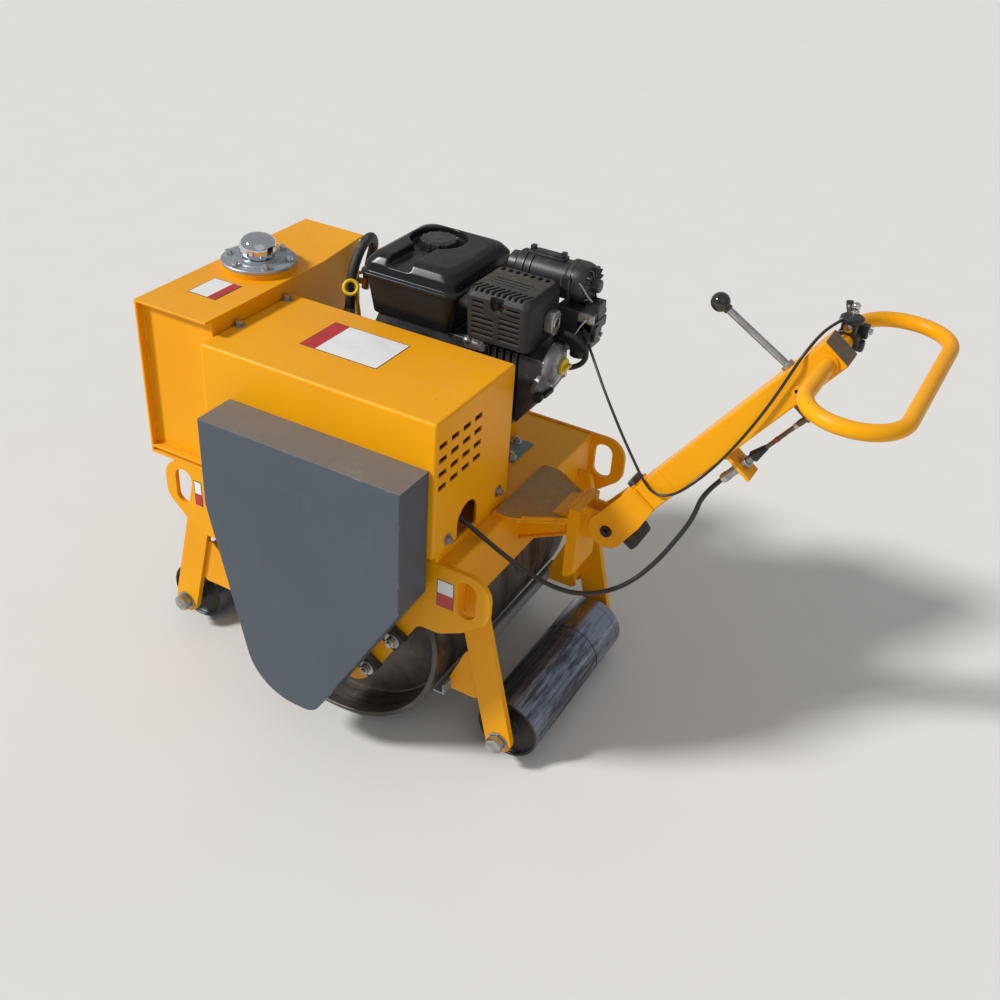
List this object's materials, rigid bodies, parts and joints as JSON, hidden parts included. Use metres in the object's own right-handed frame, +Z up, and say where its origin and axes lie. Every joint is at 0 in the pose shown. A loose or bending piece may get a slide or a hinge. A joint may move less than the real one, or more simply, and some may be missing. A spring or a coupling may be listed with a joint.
{
  "type": "road roller",
  "caption": "Walk-behind roller with one wide steel drum between two small support rollers, engine, belt cover, chain case, front tank and a tilting steering handle",
  "frame": {"origin": "on the ground under the middle of the machine's box", "axes": "+X towards the front tank, away from the handle; +Y towards the chain case; +Z up"},
  "size_m": [1.4106, 0.694, 0.9782],
  "materials": {
    "yellow_paint": "amber-yellow powder coat, worn at the edges",
    "slate_paint": "slate-grey satin paint with scratches",
    "dark_paint": "dark grey satin paint",
    "black_paint": "black satin paint",
    "drum_steel": "bare dark rolled steel",
    "roller_steel": "bare steel with mill scale",
    "zinc_steel": "zinc-plated steel",
    "chrome": "chrome plate",
    "cast_aluminium": "cast aluminium, dusty",
    "black_plastic": "black moulded plastic",
    "black_gloss": "black ball knob",
    "rubber": "black rubber",
    "yellow_plastic": "yellow moulded plastic",
    "cable_jacket": "black cable jacket"
  },
  "bodies": {
    "frame": {"axles": "zinc_steel", "side_plate_left": "yellow_paint", "side_plate_right": "yellow_paint", "rubber_mounts": "rubber", "leg_rear_left": "yellow_paint", "leg_rear_right": "yellow_paint", "leg_front_left": "yellow_paint", "leg_front_right": "yellow_paint", "rear_deck": "yellow_paint", "front_deck": "yellow_paint", "engine_base": "yellow_paint", "scraper_rear": "zinc_steel", "scraper_front": "zinc_steel", "front_tank": "yellow_paint", "breather_flange": "zinc_steel", "breather_cap": "chrome", "belt_cover": "yellow_paint", "chain_case": "slate_paint", "engine_crankcase": "cast_aluminium", "engine_cylinder": "cast_aluminium", "recoil_starter": "dark_paint", "fuel_tank": "black_paint", "fuel_cap": "black_plastic", "muffler_guard": "dark_paint", "muffler_outlet": "zinc_steel", "air_cleaner": "black_plastic", "carburettor": "cast_aluminium", "oil_cap": "yellow_plastic", "tank_hose": "rubber", "hose_fittings": "zinc_steel", "handle_bracket": "yellow_paint", "hinge_pin": "zinc_steel", "control_cable": "cable_jacket", "throttle_cable": "cable_jacket"},
    "drum": {"drum": "drum_steel"},
    "front_roller": {"front_roller": "roller_steel"},
    "rear_roller": {"rear_roller": "roller_steel"},
    "handle": {"handle_beam": "yellow_paint", "rubber_stop": "rubber", "grip_loop": "yellow_paint", "control_lever": "zinc_steel", "lever_knob": "black_gloss", "throttle_clamp": "black_plastic", "cable_fitting": "zinc_steel"}
  },
  "joints": [
    {"name": "drum_spin", "type": "hinge", "parent": "frame", "child": "drum", "pos_m": [0.22335, -0.045, 0.24], "axis": [0, 1, 0], "continuous": true},
    {"name": "front_roller_spin", "type": "hinge", "parent": "frame", "child": "front_roller", "pos_m": [0.64035, -0.045, 0.065], "axis": [0, 1, 0], "continuous": true},
    {"name": "rear_roller_spin", "type": "hinge", "parent": "frame", "child": "rear_roller", "pos_m": [-0.13765, -0.045, 0.065], "axis": [0, 1, 0], "continuous": true},
    {"name": "handle_tilt", "type": "hinge", "parent": "frame", "child": "handle", "pos_m": [-0.22465, -0.045, 0.478], "axis": [0, 1, 0], "range_deg": [0, 36], "deforming": ["control_cable", "throttle_cable"]}
  ]
}
